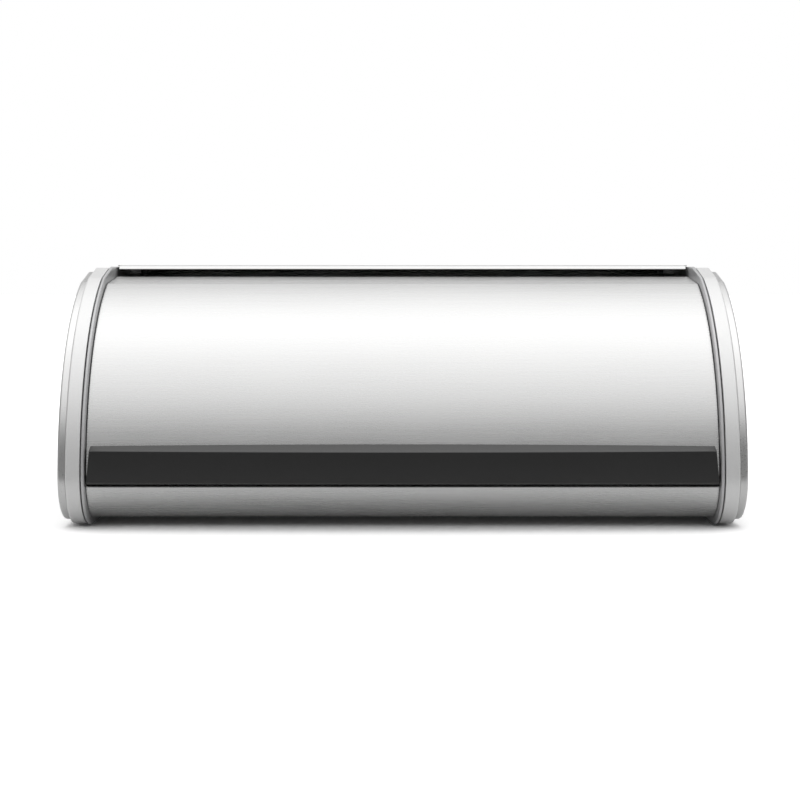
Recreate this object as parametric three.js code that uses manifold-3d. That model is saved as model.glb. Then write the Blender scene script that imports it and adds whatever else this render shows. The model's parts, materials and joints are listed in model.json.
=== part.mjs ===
// Bread box with a roll-top lid. Millimetres, +Z up, the front faces -Y, and the origin is on the ground
// under the middle of the box.
//
// Two end assemblies carry a sheet-steel base and a sheet-steel back with its top. Between them the
// curved lid swings about one hinge axis on a pair of side plates, and rolls up under the top panel.
//
// A side section is drawn in (y, z) from the hinge axis. An elevation is an angle about that axis, from
// 0 at the front through 90 at the top to 180 at the back.
import * as THREE from "three";
import { mergeVertices } from "three/addons/utils/BufferGeometryUtils.js";
import Module from "manifold-3d";

const wasm = await Module();
wasm.setup();

const degree = Math.PI / 180;

// Overall sizes
const overallWidth = 445;
const overallHeight = 171;
const hingeHeight = 23; // hinge axis above the ground
const rearReach = 117.5; // hinge axis to the back of the end bands

// Fits
const gap = 0.3; // between fixed pieces that touch
const runningGap = 0.6; // beside and above the moving lid
const arcSagitta = 0.1; // most that a facet leaves its true arc
const weldDistance = 0.001; // corners nearer than this are one corner
const overshoot = 1; // how far a cutting tool runs past the face that it cuts

// Side profile
const bandOverTop = 1; // band arc above the top panel, had it run on over the hinge
const topPanelProud = 1.8; // top panel above the flat top of the bands
const creaseElevation = 69.4;
const facetSlope = 12.5; // flat strip behind the crease of the end bands
const frontFillet = 33.5;
const rearTopFillet = 22;
const rearBottomFillet = 12;

// End assemblies, from the outside in
const stepWidth = 5.6;
const stepInset = 2.9; // side plate smaller than the band all round
const sidePlateWall = 0.8;
const bandWidth = 9.5;
const bandWall = 2.5;
const bandWeb = 2.4;
const rimGap = 0.8; // dark line between band and rim
const rimWidth = 2.1; // thickness of the inner panel, seen as a narrow rim
const rimProud = 0.8; // rim beyond the band all round

// Sheet steel
const sheet = 0.8;
const hemHeight = 3;
const hemReturn = 8;
const hemAhead = 6; // top panel's front edge ahead of the hinge axis
const hemEndGap = 1.6; // hem short of the ends of its sheet
const backInset = 1; // back sheet in from the back of the bands
const seamLength = 24; // overlap of the back sheet on the floor
const splitHeight = 29; // top of the fixed lower front above the ground
const lowerFlange = 12;
const lidFacetSlope = 6.2; // flat strip behind the crease of the lid
const lidEdgeAhead = 1.9; // lid's upper edge ahead of the hem
const lidCornerRadius = 2;
const lidCornerFacets = 6;

// Lid edge rail and grip
const railWall = 1.2;
const railHeight = 5.5;
const railLift = 1.2; // rail above the fixed lower front
const gripLift = 2; // grip above the fixed lower front
const gripHeight = 25.2;
const gripProud = 2.5; // grip ahead of the bands at its middle
const gripBow = 3.4; // front of the grip bows out from its ends to its middle
const gripLedgeSlope = 22.5;
const gripEndGap = { top: 2.8, side: 1.8, foot: 0.6 }; // from the grip's ends to the ends of the lid
const gripFoot = 1.5; // height of the flared foot at each end
const gripFlare = 3; // height over which each end flares out above its foot
const gripBowFacets = 24;
const railRebate = 0.5;

// Lid sides and their hinge
const sidePlate = 1.5;
const sideRimWidth = 5.3;
const sideRimDepth = 3;
const sideAboveRail = 5; // side plate's lower corner above the rail
const sideBelowCrease = 1.4; // degrees from the lid's crease to the side plate's upper edge
const hubRadius = 10;
const hubClearance = 1.2; // from the hub to the ledges that pass it
const pinRadius = 4;
const pinHeadRadius = 7;
const pinHead = 2;
const bushWall = 1.7;
const bushFlange = 1.2;
const spacerWidth = 2.6;
const spacerRadius = 7;
const clipWidth = 1.2;
const clipRadius = 6.5;
const pinTail = 0.8; // pin beyond its clip

// Inner panel ledges
const ledgeWidth = 8;
const ledgeDepth = 5;
const ledgeEndGap = 18; // floor ledge to the front fillet and to the seam
const rearLedge = { aboveFillet: 4.5, length: 60 };
const topLedge = { aboveLid: 9.6, toFillet: 3 }; // clear of the lid's swing and of the bend behind it

// Screws and rivets
const screwRadius = 1.4;
const pilotDepth = 0.6; // blind hole beyond the screw's tip
const panHead = { radius: 2.8, crown: 2, height: 1.2 };
const frontPanelScrews = [
  { elevation: 3, inFromBand: 44 },
  { elevation: 64, inFromBand: 34 },
];
const rearPanelScrews = {
  upper: { inFromBack: 42, belowTop: 46 },
  lower: { inFromBack: 30, aboveFloor: 20 },
};
const bossRadius = 4;
const panelScrewBite = 3; // thread held in the side plate's boss
const ledgeScrewInset = 12; // from each end of a ledge to its screw
const ledgeScrewBite = 3.6;
const gripScrewInset = 34; // outer grip screws in from the ends of the lid
const gripScrewCount = 4;
const gripScrewBite = 4;
const rivet = { shank: 1.5, head: 3, height: 0.8 };
const rivetInset = 54; // outer rivets in from the ends of the sheet

// Rubber
const footProud = 1;
const foot = { width: 6.4, length: 20, seat: 1.2, inset: 22 }; // inset from each end of the flat floor
const bumperStem = 2.4;
const bumperInset = 54; // bumpers in from the ends of the sheet
const closedBumper = { head: 4, height: 0.6, barb: 3.4, barbHeight: 1.2 };
const openBumper = { head: 4, height: 5.6, barb: 3.4, barbHeight: 1, fromHinge: 95 };
const openAngle = 57; // swing at which the lid's side plates meet the open bumpers

// Round pieces
const smallFacets = 12;
const hubFacets = 20;

// Heights from the hinge axis
const groundZ = -hingeHeight;
const topZ = overallHeight - hingeHeight;
const bandRadius = topZ + bandOverTop;
const bandTop = topZ - topPanelProud;
const bandFloor = groundZ + footProud;
const splitZ = groundZ + splitHeight;

// Distances from the middle of the box
const stepOuter = overallWidth / 2;
const bandOuter = stepOuter - stepWidth;
const bandInner = bandOuter - bandWidth;
const panelOuter = bandInner - rimGap;
const panelInner = panelOuter - rimWidth;
const sheetEnd = panelInner - gap;
const lidEnd = panelInner - runningGap;
const spacerInner = sheetEnd - spacerWidth;
const sideOuter = spacerInner - gap;
const sideInner = sideOuter - sidePlate;

// The lid passes close under the hem of the top panel, and the lower front is flush with it.
const lidRadius = topZ - hemHeight - runningGap;
const sheetInset = bandRadius - lidRadius;
const floorZ = bandFloor + sheetInset;
const floorTop = floorZ + sheet;
const backY = rearReach - backInset;

const materials = {
  satin: { color: 0xc9c9c7, roughness: 0.36, metalness: 1 },
  sheetSteel: { color: 0xcfcfce, roughness: 0.32, metalness: 1 },
  moulding: { color: 0x8b8c8c, roughness: 0.55, metalness: 0.1 },
  grip: { color: 0x262626, roughness: 0.42, metalness: 0 },
  zinc: { color: 0xb6b8ba, roughness: 0.4, metalness: 1 },
  acetal: { color: 0xe4e3de, roughness: 0.5, metalness: 0 },
  rubber: { color: 0x1b1b1b, roughness: 0.85, metalness: 0 },
};

// ---- Section drawing ----

const point = (y, z) => new THREE.Vector2(y, z);

function polar(radius, elevation, centre = point(0, 0)) {
  const angle = elevation * degree;
  return point(centre.x - radius * Math.cos(angle), centre.y + radius * Math.sin(angle));
}

function arc(radius, from, to, centre) {
  const step = (2 * Math.acos(1 - arcSagitta / radius)) / degree;
  const count = Math.ceil(Math.abs(to - from) / step);
  const elevation = (i) => from + ((to - from) * i) / count;
  return Array.from({ length: count + 1 }, (_, i) => polar(radius, elevation(i), centre));
}

// The front fillet touches the floor of the bands and the inside of their arc.
const filletCentreZ = bandFloor + frontFillet;
const filletCentre = point(-Math.sqrt((bandRadius - frontFillet) ** 2 - filletCentreZ ** 2), filletCentreZ);
const filletEnd = Math.atan2(filletCentre.y, -filletCentre.x) / degree;

// The front of the box, `inset` inside the bands, between two heights: fillet first, then arc.
function frontCurve(inset, fromZ, toZ) {
  const fillet = frontFillet - inset;
  const radius = bandRadius - inset;
  const joinZ = radius * Math.sin(filletEnd * degree);
  const filletElevation = (z) => Math.asin(Math.max(-1, (z - filletCentre.y) / fillet)) / degree;
  const lower = fromZ < joinZ
    ? arc(fillet, filletElevation(fromZ), filletElevation(Math.min(toZ, joinZ)), filletCentre)
    : [];
  const upper = toZ > joinZ
    ? arc(radius, Math.asin(Math.max(fromZ, joinZ) / radius) / degree, Math.asin(toZ / radius) / degree)
    : [];
  return lower.length ? [...lower, ...upper.slice(1)] : upper;
}

const creaseZ = (inset) => (bandRadius - inset) * Math.sin(creaseElevation * degree);

// The whole side outline, `inset` inside the bands.
function boxOutline(inset) {
  const top = bandTop - inset;
  const back = rearReach - inset;
  const upper = rearTopFillet - inset;
  const lower = rearBottomFillet - inset;
  const floor = bandFloor + inset;
  const front = frontCurve(inset, floor, creaseZ(inset));
  const crease = front.at(-1);
  return [
    ...front,
    point(crease.x + (top - crease.y) / Math.tan(facetSlope * degree), top),
    ...arc(upper, 90, 180, point(back - upper, top - upper)),
    ...arc(lower, 180, 270, point(back - lower, floor + lower)),
  ];
}

// Closes an open outer line into bent sheet of the given thickness, laid on its right-hand side.
function bent(outer, thickness) {
  const normals = outer.slice(1).map((p, i) => {
    const run = p.clone().sub(outer[i]).normalize();
    return point(run.y, -run.x);
  });
  const inner = outer.map((p, i) => {
    const before = normals[Math.max(i - 1, 0)];
    const after = normals[Math.min(i, normals.length - 1)];
    const mitre = before.clone().add(after);
    return p.clone().addScaledVector(mitre, (2 * thickness) / mitre.lengthSq());
  });
  return [...outer, ...inner.reverse()];
}

// ---- Solids ----

const sectionToBox = new THREE.Matrix4().makeBasis(
  new THREE.Vector3(0, 1, 0),
  new THREE.Vector3(0, 0, 1),
  new THREE.Vector3(1, 0, 0),
);

// A side section drawn out along X.
function prism(outline, from, to) {
  const shape = new THREE.Shape(outline);
  const geometry = new THREE.ExtrudeGeometry(shape, { depth: to - from, bevelEnabled: false });
  return geometry.applyMatrix4(sectionToBox).translate(from, 0, 0);
}

function block(x, y, z) {
  const geometry = new THREE.BoxGeometry(x[1] - x[0], y[1] - y[0], z[1] - z[0]);
  return geometry.translate((x[0] + x[1]) / 2, (y[0] + y[1]) / 2, (z[0] + z[1]) / 2);
}

// A turned piece along Z from a profile of [radius, height] pairs that rises on its outside.
function turned(profile, facets = smallFacets) {
  return new THREE.LatheGeometry(profile.map(([radius, height]) => point(radius, height)), facets);
}

function cylinder(radius, from, to, facets) {
  return alongZ(turned([[0, from], [radius, from], [radius, to], [0, to]], facets));
}

function ring(inner, outer, from, to, facets) {
  return alongZ(turned([[inner, from], [outer, from], [outer, to], [inner, to], [inner, from]], facets));
}

// three.js turns profiles about Y: these lay that axis along the box's axes.
const alongZ = (geometry) => geometry.rotateX(90 * degree);
const alongX = (geometry) => geometry.rotateY(90 * degree);
const alongY = (geometry) => geometry.rotateX(-90 * degree);

function toSolid(geometry) {
  const bare = geometry.clone();
  bare.deleteAttribute("normal");
  bare.deleteAttribute("uv");
  const merged = mergeVertices(bare, weldDistance);
  const triVerts = new Uint32Array(merged.index.array);
  const vertProperties = merged.attributes.position.array;
  return new wasm.Manifold(new wasm.Mesh({ numProp: 3, vertProperties, triVerts }));
}

function toGeometry(body) {
  const mesh = body.getMesh();
  const geometry = new THREE.BufferGeometry();
  geometry.setAttribute("position", new THREE.BufferAttribute(mesh.vertProperties, 3));
  geometry.setIndex(new THREE.BufferAttribute(mesh.triVerts, 1));
  geometry.computeVertexNormals();
  return geometry;
}

function join(...parts) {
  return toGeometry(parts.map(toSolid).reduce((all, part) => all.add(part)));
}

function common(...parts) {
  return toGeometry(parts.map(toSolid).reduce((all, part) => all.intersect(part)));
}

function cut(base, tools) {
  return toGeometry(tools.map(toSolid).reduce((rest, tool) => rest.subtract(tool), toSolid(base)));
}

// ---- Fasteners, each with its head's seat at z = 0 and its shank along +Z ----

function panScrew(length) {
  const { radius, crown, height } = panHead;
  const tip = screwRadius;
  return alongZ(turned([
    [0, -height],
    [crown, -height],
    [radius, -height / 2],
    [radius, 0],
    [screwRadius, 0],
    [screwRadius, length - tip],
    [0, length],
  ]));
}

function clinchedRivet(far) {
  const { shank, head, height } = rivet;
  return alongZ(turned([
    [0, -height],
    [head, -height],
    [head, 0],
    [shank, 0],
    [shank, far],
    [head, far],
    [head, far + height],
    [0, far + height],
  ]));
}

// A push-in bumper: its head stands on a wall and its barb holds on the far side.
function bumper({ head, height, barb, barbHeight }, wall) {
  const far = wall + 2 * gap;
  return alongZ(turned([
    [0, -height],
    [head, -height],
    [head, 0],
    [bumperStem, 0],
    [bumperStem, far],
    [barb, far],
    [bumperStem, far + barbHeight],
    [0, far + barbHeight],
  ]));
}

// ---- End assemblies, for the right-hand end ----

const panelScrewCentres = [
  ...frontPanelScrews.map(({ elevation, inFromBand }) => polar(bandRadius - inFromBand, elevation)),
  point(rearReach - rearPanelScrews.upper.inFromBack, bandTop - rearPanelScrews.upper.belowTop),
  point(rearReach - rearPanelScrews.lower.inFromBack, bandFloor + rearPanelScrews.lower.aboveFloor),
];
const panelScrewLength = bandOuter + gap + panelScrewBite - panelInner + gap;

function holesAlongX(centres, radius, from, to, facets) {
  return centres.map((c) => alongX(cylinder(radius, from, to, facets)).translate(0, c.x, c.y));
}

function sidePlateShell() {
  const inner = bandOuter + gap;
  const hollow = prism(boxOutline(stepInset + sidePlateWall), inner - overshoot, stepOuter - sidePlateWall);
  const shell = cut(prism(boxOutline(stepInset), inner, stepOuter), [hollow]);
  const bosses = holesAlongX(panelScrewCentres, bossRadius, inner, stepOuter - sidePlateWall / 2);
  const pilotEnd = inner + panelScrewBite + pilotDepth;
  const pilots = holesAlongX(panelScrewCentres, screwRadius + gap, inner - overshoot, pilotEnd);
  return cut(join(shell, ...bosses), pilots);
}

const footPlaces = {
  front: filletCentre.x + foot.inset,
  rear: rearReach - rearBottomFillet - foot.inset,
};
const footMiddle = bandInner + bandWidth / 2;
const span = (middle, length) => [middle - length / 2, middle + length / 2];

function endBand() {
  const webInner = bandOuter - bandWeb;
  const hollow = prism(boxOutline(bandWall), bandInner - overshoot, webInner);
  const shell = cut(prism(boxOutline(0), bandInner, bandOuter), [hollow]);
  const bosses = holesAlongX(panelScrewCentres, bossRadius, bandInner, webInner + bandWeb / 2);
  const through = [bandInner - overshoot, bandOuter + overshoot];
  const holes = holesAlongX(panelScrewCentres, screwRadius + gap, ...through);
  const pockets = Object.values(footPlaces).map((y) => block(
    span(footMiddle, foot.width + 2 * gap),
    span(y, foot.length + 2 * gap),
    [bandFloor - overshoot, bandFloor + foot.seat],
  ));
  return cut(join(shell, ...bosses), [...holes, ...pockets]);
}

function rubberFoot(y) {
  return block(span(footMiddle, foot.width), span(y, foot.length), [groundZ, bandFloor + foot.seat - gap]);
}

const ledgeInner = sheetEnd - ledgeWidth;
const ledgeScrewX = sheetEnd - ledgeWidth / 2;
const seamZ = floorTop + gap;
const floorRear = backY - rearBottomFillet;
const floorLedgeY = [filletCentre.x + ledgeEndGap, floorRear - seamLength - ledgeEndGap];
const floorLedgeZ = [floorTop + gap, floorTop + gap + ledgeDepth];
const backInnerY = backY - sheet;
const rearLedgeY = [backInnerY - gap - ledgeDepth, backInnerY - gap];
const rearLedgeFoot = seamZ + rearBottomFillet + rearLedge.aboveFillet;
const rearLedgeZ = [rearLedgeFoot, rearLedgeFoot + rearLedge.length];
const topLedgeZ = [topZ - sheet - gap - ledgeDepth, topZ - sheet - gap];
const topLedgeFront = Math.sqrt((lidRadius + topLedge.aboveLid) ** 2 - topLedgeZ[0] ** 2);
const topLedgeY = [topLedgeFront, backY - rearTopFillet - topLedge.toFillet];
const screwPlaces = ([from, to]) => [from + ledgeScrewInset, to - ledgeScrewInset];
const floorScrewPlaces = screwPlaces(floorLedgeY);
const rearScrewPlaces = screwPlaces(rearLedgeZ);

// The upper edge of the lid's side plate runs from its outer corner to its hub. With the lid open, the
// open bumper stands against that edge.
const sideTop = creaseElevation - sideBelowCrease;
const openCorner = polar(lidRadius - sheet - gap, sideTop + openAngle);
const openHub = polar(hubRadius, sideTop + openAngle + 90);
const openEdge = openCorner.clone().sub(openHub).normalize();
const openBumperCentre = openHub.clone()
  .addScaledVector(openEdge, openBumper.fromHinge)
  .addScaledVector(point(openEdge.y, -openEdge.x), openBumper.head);

function innerPanel() {
  const reach = [ledgeInner, panelInner + rimWidth / 2];
  const ledges = [
    block(reach, floorLedgeY, floorLedgeZ),
    block(reach, rearLedgeY, rearLedgeZ),
    block(reach, topLedgeY, topLedgeZ),
  ];
  const hole = screwRadius + gap;
  const pilot = ledgeScrewBite + pilotDepth;
  const through = [panelInner - overshoot, panelOuter + overshoot];
  const underside = floorLedgeZ[0];
  const rearFace = rearLedgeY[1];
  const floorPilots = floorScrewPlaces.map((y) => (
    cylinder(hole, underside - overshoot, underside + pilot).translate(ledgeScrewX, y, 0)));
  const rearPilots = rearScrewPlaces.map((z) => (
    alongY(cylinder(hole, rearFace - pilot, rearFace + overshoot)).translate(ledgeScrewX, 0, z)));
  const hubRoom = hubRadius + hubClearance;
  return cut(join(prism(boxOutline(-rimProud), panelInner, panelOuter), ...ledges), [
    ...holesAlongX([point(0, 0)], hubRoom, ledgeInner - overshoot, panelInner, hubFacets),
    ...holesAlongX(panelScrewCentres, hole, ...through),
    ...holesAlongX([point(0, 0)], pinRadius + gap, ...through, hubFacets),
    ...holesAlongX([openBumperCentre], bumperStem + gap, ...through),
    ...floorPilots,
    ...rearPilots,
  ]);
}

// ---- Hinge ----

const bushInner = sideInner - gap - bushFlange;
const clipOuter = bushInner - gap;
const clipInner = clipOuter - clipWidth;
const pinInner = clipInner - pinTail;
const bushRadius = pinRadius + gap + bushWall;

function hingePin() {
  const seat = panelOuter + gap;
  return alongX(alongZ(turned([
    [0, pinInner],
    [pinRadius, pinInner],
    [pinRadius, seat],
    [pinHeadRadius, seat],
    [pinHeadRadius, seat + pinHead],
    [0, seat + pinHead],
  ], hubFacets)));
}

const hingeSpacer = () => alongX(ring(pinRadius + gap, spacerRadius, spacerInner, sheetEnd, hubFacets));
const hingeClip = () => alongX(ring(pinRadius + gap, clipRadius, clipInner, clipOuter, hubFacets));

function hingeBush() {
  return alongX(alongZ(turned([
    [pinRadius + gap, bushInner],
    [bushRadius + bushFlange, bushInner],
    [bushRadius + bushFlange, bushInner + bushFlange],
    [bushRadius, bushInner + bushFlange],
    [bushRadius, sideOuter],
    [pinRadius + gap, sideOuter],
    [pinRadius + gap, bushInner],
  ], hubFacets)));
}

// ---- Fixed sheet steel ----

const sides = { left: -1, right: 1 };

// Holes through a level sheet and through the upright back sheet.
function levelHole(radius, from, to, x, y) {
  return cylinder(radius, from - overshoot, to + overshoot).translate(x, y, 0);
}

function backHole(radius, x, z) {
  return alongY(cylinder(radius, backInnerY - overshoot, backY + overshoot)).translate(x, 0, z);
}

const floorScrewHoles = floorScrewPlaces.flatMap((y) => Object.values(sides).map((side) => (
  levelHole(screwRadius + gap, floorZ, floorTop, side * ledgeScrewX, y))));
const rearScrewHoles = rearScrewPlaces.flatMap((z) => Object.values(sides).map((side) => (
  backHole(screwRadius + gap, side * ledgeScrewX, z))));

const rivetPlaces = { left: rivetInset - sheetEnd, middle: 0, right: sheetEnd - rivetInset };
const rivetY = floorRear - seamLength / 2;
const rivetHoles = Object.values(rivetPlaces).map((x) => (
  levelHole(rivet.shank + gap, floorZ, seamZ + sheet, x, rivetY)));

// The closed bumpers stand on the flange under the lid's rail.
const splitInnerY = frontCurve(sheetInset + sheet, splitZ, creaseZ(sheetInset))[0].x;
const closedBumperY = splitInnerY + closedBumper.head + gap;
const lidCrease = frontCurve(sheetInset, splitZ, creaseZ(sheetInset)).at(-1);
const lidEdgeY = -hemAhead - lidEdgeAhead;
const lidFacetRise = (lidEdgeY - lidCrease.x) * Math.tan(lidFacetSlope * degree);
const lidTopEdge = point(lidEdgeY, lidCrease.y + lidFacetRise);
const bumperPlace = sheetEnd - bumperInset;

function baseTray() {
  const front = frontCurve(sheetInset, floorZ, splitZ);
  const outer = [point(floorRear, floorZ), ...front, point(front.at(-1).x + lowerFlange, splitZ)];
  const bumperHoles = Object.values(sides).map((side) => (
    levelHole(bumperStem + gap, splitZ - sheet, splitZ, side * bumperPlace, closedBumperY)));
  const tray = prism(bent(outer, sheet), -sheetEnd, sheetEnd);
  return cut(tray, [...floorScrewHoles, ...rivetHoles, ...bumperHoles]);
}

function rearShell() {
  const hemBottom = topZ - hemHeight;
  const outer = [
    point(hemReturn - hemAhead, hemBottom),
    point(-hemAhead, hemBottom),
    point(-hemAhead, topZ),
    ...arc(rearTopFillet, 90, 180, point(backY - rearTopFillet, topZ - rearTopFillet)),
    ...arc(rearBottomFillet, 180, 270, point(backY - rearBottomFillet, seamZ + rearBottomFillet)),
    point(floorRear - seamLength, seamZ),
  ];
  const hemNotches = Object.values(sides).map((side) => block(
    span(side * sheetEnd, 2 * hemEndGap),
    [-hemAhead - overshoot, hemReturn - hemAhead],
    [hemBottom - overshoot, topZ + overshoot],
  ));
  const shell = prism(bent(outer, sheet), -sheetEnd, sheetEnd);
  return cut(shell, [...rearScrewHoles, ...rivetHoles, ...hemNotches]);
}

// ---- Lid ----

const railFloorZ = splitZ + railLift;
const railTopZ = railFloorZ + railHeight;
const gripFloorZ = splitZ + gripLift;
const gripTopZ = gripFloorZ + gripHeight;
const gripSeat = sheetInset - gap; // back of the grip on the lid
const sideBottomZ = railTopZ + sideAboveRail;

// The grip screws stand square to the lid at the middle of the grip.
const gripScrewSeat = frontCurve(sheetInset + sheet + gap, gripFloorZ + gripHeight / 2, gripTopZ)[0];
const onFillet = gripScrewSeat.y < gripScrewSeat.length() * Math.sin(filletEnd * degree);
const gripScrewDirection = gripScrewSeat.clone().sub(onFillet ? filletCentre : point(0, 0)).normalize();
const gripScrewLength = sheet + 2 * gap + gripScrewBite;
const gripScrewReach = lidEnd - gripScrewInset;
const gripScrewPlaces = Array.from({ length: gripScrewCount }, (_, i) => (
  gripScrewReach * ((2 * i) / (gripScrewCount - 1) - 1)));

// Stands a Z-axis piece on a grip screw's seat, pointing outwards.
function atGripScrew(geometry, x) {
  return geometry
    .applyMatrix4(new THREE.Matrix4().makeBasis(
      new THREE.Vector3(1, 0, 0),
      new THREE.Vector3(0, gripScrewDirection.y, -gripScrewDirection.x),
      new THREE.Vector3(0, gripScrewDirection.x, gripScrewDirection.y),
    ))
    .translate(x, gripScrewSeat.x, gripScrewSeat.y);
}

function gripScrewHoles(depth) {
  return gripScrewPlaces.map((x) => atGripScrew(cylinder(screwRadius + gap, -overshoot, depth), x));
}

function lidSheet() {
  const lowZ = railFloorZ + railWall + gap;
  const front = frontCurve(sheetInset, lowZ, creaseZ(sheetInset));
  const skin = prism(bent([...front, lidTopEdge], sheet), -lidEnd, lidEnd);
  const r = lidCornerRadius;
  const rear = lidTopEdge.x + sheet;
  const plan = new THREE.Shape();
  plan.moveTo(-lidEnd, -bandRadius);
  plan.lineTo(lidEnd, -bandRadius);
  plan.lineTo(lidEnd, rear - r);
  plan.absarc(lidEnd - r, rear - r, r, 0, Math.PI / 2);
  plan.lineTo(r - lidEnd, rear);
  plan.absarc(r - lidEnd, rear - r, r, Math.PI / 2, Math.PI);
  const blank = new THREE.ExtrudeGeometry(plan, {
    depth: 2 * topZ,
    bevelEnabled: false,
    curveSegments: lidCornerFacets,
  });
  blank.translate(0, 0, -topZ / 2);
  return cut(common(skin, blank), gripScrewHoles(sheet + 2 * gap + overshoot));
}

function lidSide() {
  const seat = sheetInset + sheet + gap;
  const edge = (inset) => frontCurve(inset, sideBottomZ, (bandRadius - inset) * Math.sin(sideTop * degree));
  const outer = edge(seat);
  const from = Math.atan2(outer[0].y, -outer[0].x) / degree;
  const hub = arc(hubRadius, sideTop + 90, from + 270);
  const inner = edge(seat + sideRimDepth).reverse();
  const plate = prism([...outer, ...hub], sideInner, sideOuter);
  const rim = prism([...outer, ...inner], sideOuter - sideRimWidth, sideOuter);
  const through = [sideInner - overshoot, sideOuter + overshoot];
  return cut(join(plate, rim), holesAlongX([point(0, 0)], bushRadius + gap, ...through, hubFacets));
}

function edgeRail() {
  const outside = sheetInset - gap;
  const inside = sheetInset + sheet + gap;
  const pocketZ = railFloorZ + railWall;
  const outline = [
    ...frontCurve(outside - railWall, railFloorZ, railTopZ),
    ...frontCurve(outside, pocketZ, railTopZ).reverse(),
    ...frontCurve(inside, pocketZ, railTopZ),
    ...frontCurve(inside + railWall, railFloorZ, railTopZ).reverse(),
  ];
  return prism(outline, -lidEnd, lidEnd);
}

// The grip is what its side, top and front views have in common.
function gripBar() {
  const railFace = gripSeat - railWall - gap;
  const frontY = -(bandRadius + gripProud);
  const seatTop = frontCurve(gripSeat, railTopZ + railRebate, gripTopZ);
  const ledgeBack = seatTop.at(-1);
  const ledgeDrop = (ledgeBack.x - frontY) * Math.tan(gripLedgeSlope * degree);
  const side = prism([
    ...seatTop,
    point(frontY, gripTopZ - ledgeDrop),
    point(frontY, gripFloorZ),
    ...frontCurve(railFace, gripFloorZ, railTopZ + railRebate),
  ], -lidEnd, lidEnd);

  const bowRadius = (lidEnd ** 2 + gripBow ** 2) / (2 * gripBow);
  const bowHalf = Math.asin(lidEnd / bowRadius);
  const plan = new THREE.Shape();
  plan.moveTo(lidEnd, 0);
  plan.lineTo(-lidEnd, 0);
  plan.absarc(0, frontY + bowRadius, bowRadius, -Math.PI / 2 - bowHalf, -Math.PI / 2 + bowHalf);
  const bowed = new THREE.ExtrudeGeometry(plan, {
    depth: 2 * topZ,
    bevelEnabled: false,
    curveSegments: gripBowFacets,
  });
  bowed.translate(0, 0, -topZ);

  const half = [
    point(lidEnd - gripEndGap.foot, gripFloorZ),
    point(lidEnd - gripEndGap.foot, gripFloorZ + gripFoot),
    point(lidEnd - gripEndGap.side, gripFloorZ + gripFoot + gripFlare),
    point(lidEnd - gripEndGap.top, gripTopZ),
  ];
  const front = new THREE.Shape([...half, ...half.map((p) => point(-p.x, p.y)).reverse()]);
  const face = new THREE.ExtrudeGeometry(front, { depth: 2 * bandRadius, bevelEnabled: false });
  face.rotateX(90 * degree);

  return cut(
    common(side, bowed, face),
    gripScrewHoles(gripScrewLength + pilotDepth),
  );
}

// ---- Assembly ----

function piece(name, geometry, finish) {
  const mesh = new THREE.Mesh(geometry, new THREE.MeshStandardMaterial(materials[finish]));
  mesh.name = name;
  return mesh;
}

const box = new THREE.Group();
box.name = "bread_box";
const hingeY = (bandRadius + gripProud - rearReach - rimProud) / 2;
box.position.set(0, hingeY, hingeHeight);

const housing = new THREE.Group();
const lid = new THREE.Group();
box.add(housing, lid);

housing.add(piece("base_tray", baseTray(), "sheetSteel"), piece("rear_shell", rearShell(), "sheetSteel"));
for (const [name, x] of Object.entries(rivetPlaces)) {
  const seamRivet = piece(`seam_rivet_${name}`, clinchedRivet(2 * sheet + 3 * gap), "zinc");
  seamRivet.position.set(x, rivetY, floorZ - gap);
  housing.add(seamRivet);
}

for (const [side, sign] of Object.entries(sides)) {
  const end = new THREE.Group();
  end.scale.x = sign;
  housing.add(end);
  end.add(
    piece(`${side}_side_plate`, sidePlateShell(), "satin"),
    piece(`${side}_end_band`, endBand(), "satin"),
    piece(`${side}_inner_panel`, innerPanel(), "moulding"),
    piece(`${side}_hinge_pin`, hingePin(), "zinc"),
    piece(`${side}_hinge_spacer`, hingeSpacer(), "acetal"),
    piece(`${side}_hinge_clip`, hingeClip(), "zinc"),
  );
  for (const [place, y] of Object.entries(footPlaces)) {
    end.add(piece(`${side}_foot_${place}`, rubberFoot(y), "rubber"));
  }
  panelScrewCentres.forEach((centre, i) => {
    const screw = piece(`${side}_panel_screw_${i + 1}`, alongX(panScrew(panelScrewLength)), "zinc");
    screw.position.set(panelInner - gap, centre.x, centre.y);
    end.add(screw);
  });
  floorScrewPlaces.forEach((y, i) => {
    const screw = piece(`${side}_floor_screw_${i + 1}`, panScrew(sheet + 2 * gap + ledgeScrewBite), "zinc");
    screw.position.set(ledgeScrewX, y, floorZ - gap);
    end.add(screw);
  });
  rearScrewPlaces.forEach((z, i) => {
    const screw = piece(`${side}_rear_screw_${i + 1}`, panScrew(sheet + 2 * gap + ledgeScrewBite), "zinc");
    screw.rotation.x = 90 * degree;
    screw.position.set(ledgeScrewX, backY + gap, z);
    end.add(screw);
  });
  const closed = piece(`${side}_closed_bumper`, bumper(closedBumper, sheet), "rubber");
  closed.rotation.x = 180 * degree;
  closed.position.set(bumperPlace, closedBumperY, splitZ + gap);
  const open = piece(`${side}_open_bumper`, alongX(bumper(openBumper, rimWidth)), "rubber");
  open.position.set(panelInner - gap, openBumperCentre.x, openBumperCentre.y);
  end.add(closed, open);

  const lidEndGroup = new THREE.Group();
  lidEndGroup.scale.x = sign;
  lid.add(lidEndGroup);
  lidEndGroup.add(
    piece(`${side}_lid_side`, lidSide(), "moulding"),
    piece(`${side}_hinge_bush`, hingeBush(), "acetal"),
  );
}

lid.add(
  piece("lid_sheet", lidSheet(), "sheetSteel"),
  piece("lid_edge_rail", edgeRail(), "grip"),
  piece("handle_grip", gripBar(), "grip"),
);
gripScrewPlaces.forEach((x, i) => {
  lid.add(piece(`grip_screw_${i + 1}`, atGripScrew(panScrew(gripScrewLength), x), "zinc"));
});

export default box;
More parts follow.
